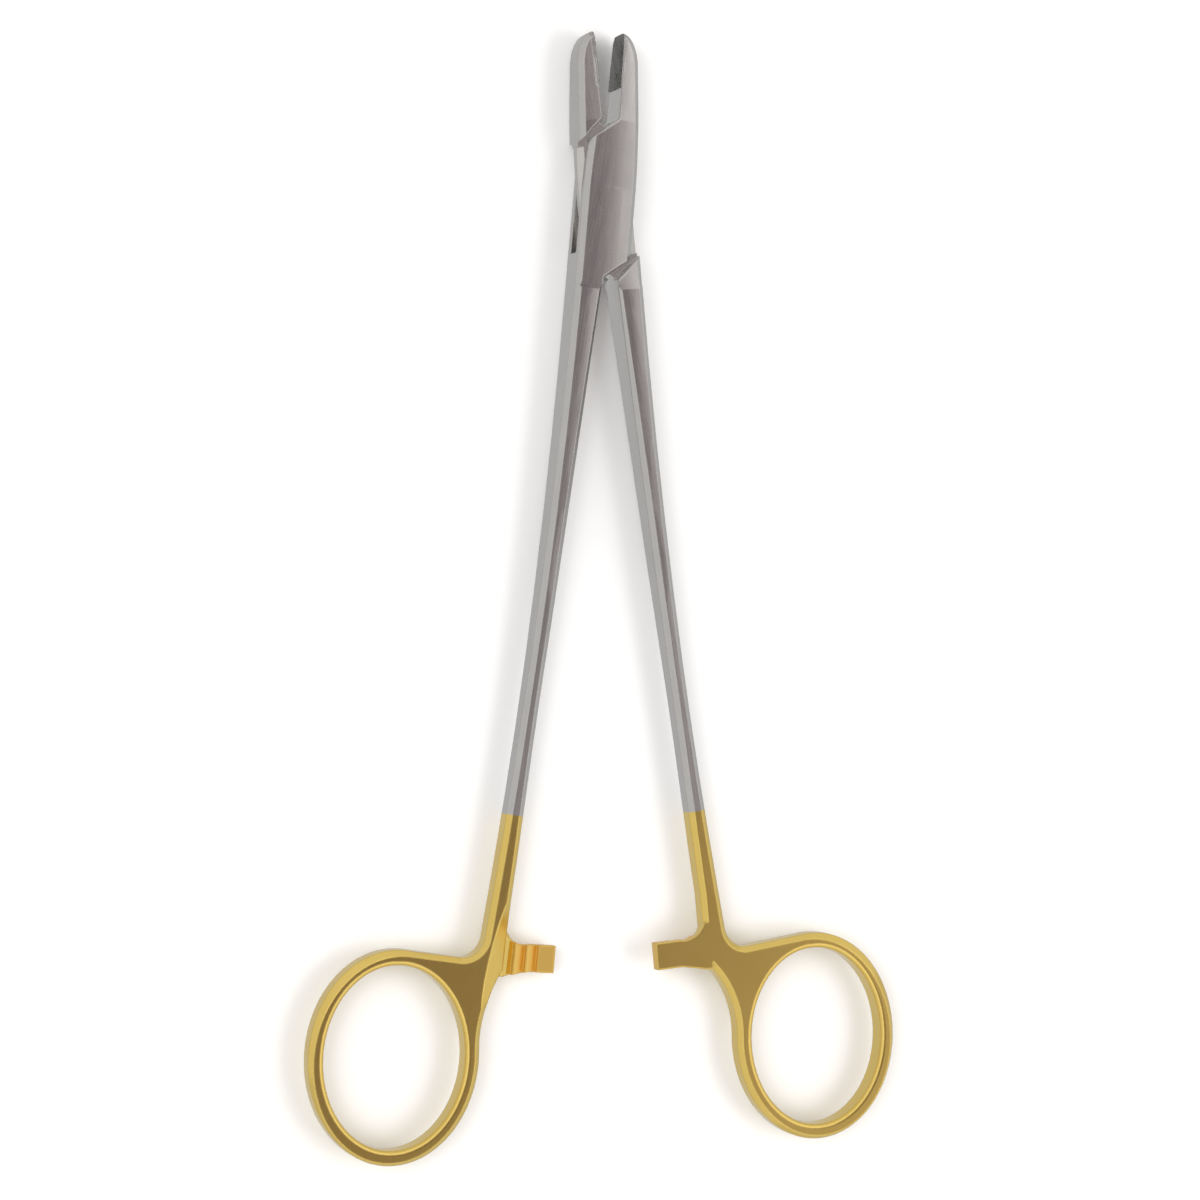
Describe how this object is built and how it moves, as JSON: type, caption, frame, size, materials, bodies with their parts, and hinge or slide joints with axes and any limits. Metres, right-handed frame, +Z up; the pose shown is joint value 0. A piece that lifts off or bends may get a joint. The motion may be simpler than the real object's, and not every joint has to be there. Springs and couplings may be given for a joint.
{
  "type": "surgical needle holder",
  "caption": "Needle holder with a box lock, bevelled shanks, hard metal jaw inserts, gold finger rings and interlocking ratchet bars, lying flat with the jaws open.",
  "frame": {"origin": "on the pivot axis, at the underside of the box on which the instrument lies", "axes": "+Z up along the pivot axis, +Y from the finger rings to the jaw tips along the middle line, +X to the right of someone looking down on it"},
  "size_m": [0.0989, 0.1777, 0.0064],
  "materials": {
    "steel": "satin stainless steel, gold plated over the finger rings and the lower end of the shanks",
    "hard_metal": "dark grey tungsten carbide with a fine cross-cut face",
    "pin_steel": "satin stainless steel, ground flush with the box"
  },
  "bodies": {
    "box_body": {"box_arm": "steel", "right_jaw_insert": "hard_metal", "pivot_pin": "pin_steel"},
    "through_body": {"through_arm": "steel", "left_jaw_insert": "hard_metal"}
  },
  "joints": [
    {"name": "box_joint", "type": "hinge", "parent": "box_body", "child": "through_body", "pos_m": [0, 0, 0.0032], "axis": [0, 0, 1], "range_deg": [-10.5, 35]}
  ]
}
